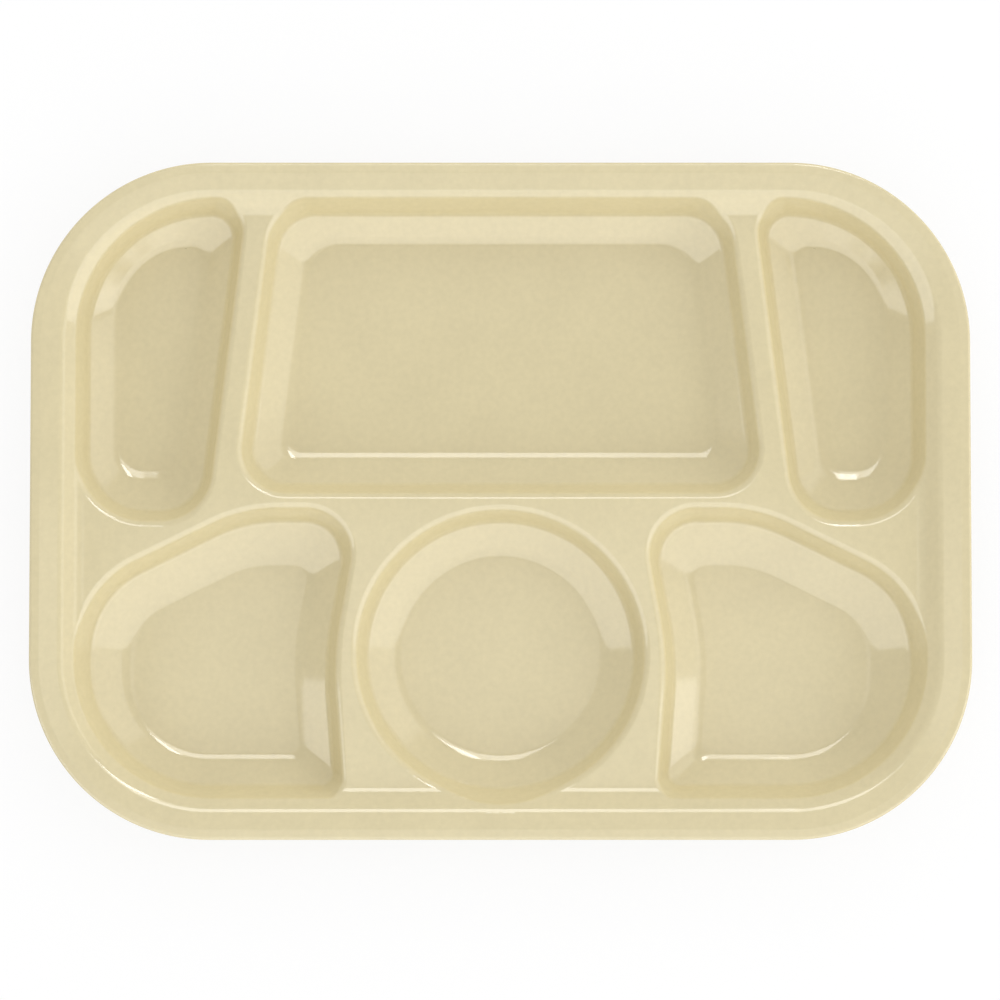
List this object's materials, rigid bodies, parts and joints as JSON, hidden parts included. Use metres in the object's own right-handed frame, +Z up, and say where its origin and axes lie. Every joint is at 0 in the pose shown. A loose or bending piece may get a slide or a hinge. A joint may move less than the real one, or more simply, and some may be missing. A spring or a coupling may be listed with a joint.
{
  "type": "compartment tray",
  "caption": "Rectangular moulded serving tray with rounded corners, a raised rim and separate wells for a main dish, side dishes and a cup.",
  "frame": {"origin": "on the surface that the tray stands on, under the middle of its outline", "axes": "+X across the tray to the right, +Y towards the far side with the main well, +Z up"},
  "size_m": [0.356, 0.2566, 0.023],
  "materials": {
    "melamine": "smooth gloss"
  },
  "bodies": {
    "root": {"rim": "melamine", "divider_web": "melamine", "main_well_wall": "melamine", "main_well_floor": "melamine", "left_side_well_wall": "melamine", "left_side_well_floor": "melamine", "right_side_well_wall": "melamine", "right_side_well_floor": "melamine", "cup_well_wall": "melamine", "cup_well_floor": "melamine", "left_corner_well_wall": "melamine", "left_corner_well_floor": "melamine", "right_corner_well_wall": "melamine", "right_corner_well_floor": "melamine"}
  },
  "joints": []
}
